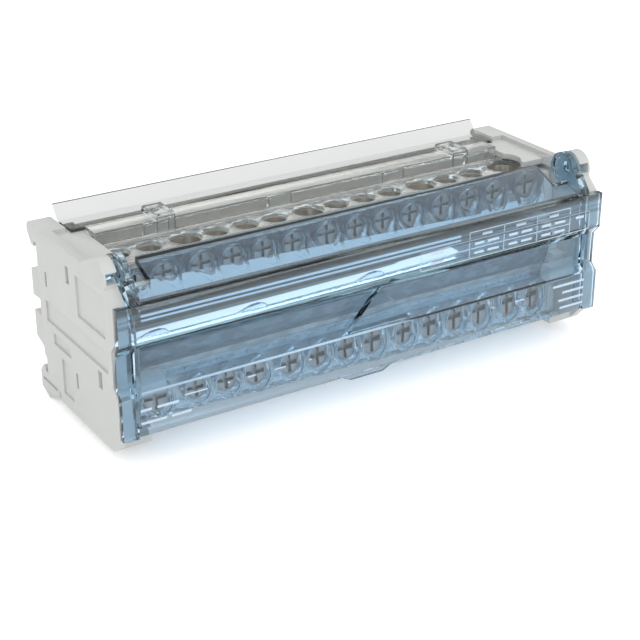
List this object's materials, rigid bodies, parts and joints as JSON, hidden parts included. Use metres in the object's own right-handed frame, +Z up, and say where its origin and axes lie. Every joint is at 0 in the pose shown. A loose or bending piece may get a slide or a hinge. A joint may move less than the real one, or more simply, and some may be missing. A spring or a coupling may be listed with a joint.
{
  "type": "modular distribution block",
  "caption": "Rail-mounted power distribution block: two rows of brass screw terminals between grey end plates, behind a hinged blue-tinted transparent cover.",
  "frame": {"origin": "centre of the rail seat, on the plane that rests on the rail, midway between the rail's edges", "axes": "+X along the block and the rail, +Y back towards the rail, +Z up"},
  "size_m": [0.142, 0.0514, 0.0509],
  "materials": {
    "grey_plastic": "light grey moulded, fine matt grain",
    "tinted_plastic": "blue-tinted transparent, polished",
    "tinted_inner_plastic": "pale clear moulding, polished",
    "clear_plastic": "colourless transparent, polished",
    "blue_grey_plastic": "moulded, matt",
    "brass": "drawn and drilled, dull",
    "screw_steel": "zinc plated, dull"
  },
  "bodies": {
    "block": {"end_plate_left": "grey_plastic", "end_plate_right": "grey_plastic", "bar_support_left": "blue_grey_plastic", "bar_support_right": "blue_grey_plastic", "hood_left": "clear_plastic", "hood_right": "clear_plastic", "rear_screen": "clear_plastic", "carrier": "blue_grey_plastic", "upper_shroud": "clear_plastic", "lower_shroud": "tinted_inner_plastic", "upper_bar": "brass", "lower_bar": "brass", "upper_small_screws": "screw_steel", "upper_medium_screws": "screw_steel", "upper_large_screws": "screw_steel", "lower_small_screws": "screw_steel", "lower_medium_screws": "screw_steel", "lower_large_screws": "screw_steel"},
    "cover": {"front_cover": "tinted_plastic"},
    "clip_left": {"rail_clip_left": "grey_plastic"},
    "clip_right": {"rail_clip_right": "grey_plastic"}
  },
  "joints": [
    {"name": "cover_hinge", "type": "hinge", "parent": "block", "child": "cover", "pos_m": [0, -0.0354, 0.022], "axis": [-1, 0, 0], "range_deg": [0, 100]},
    {"name": "left_clip_slide", "type": "slide", "parent": "block", "child": "clip_left", "axis": [0, 0, -1], "range_m": [0, 0.003]},
    {"name": "right_clip_slide", "type": "slide", "parent": "block", "child": "clip_right", "axis": [0, 0, -1], "range_m": [0, 0.003]}
  ]
}
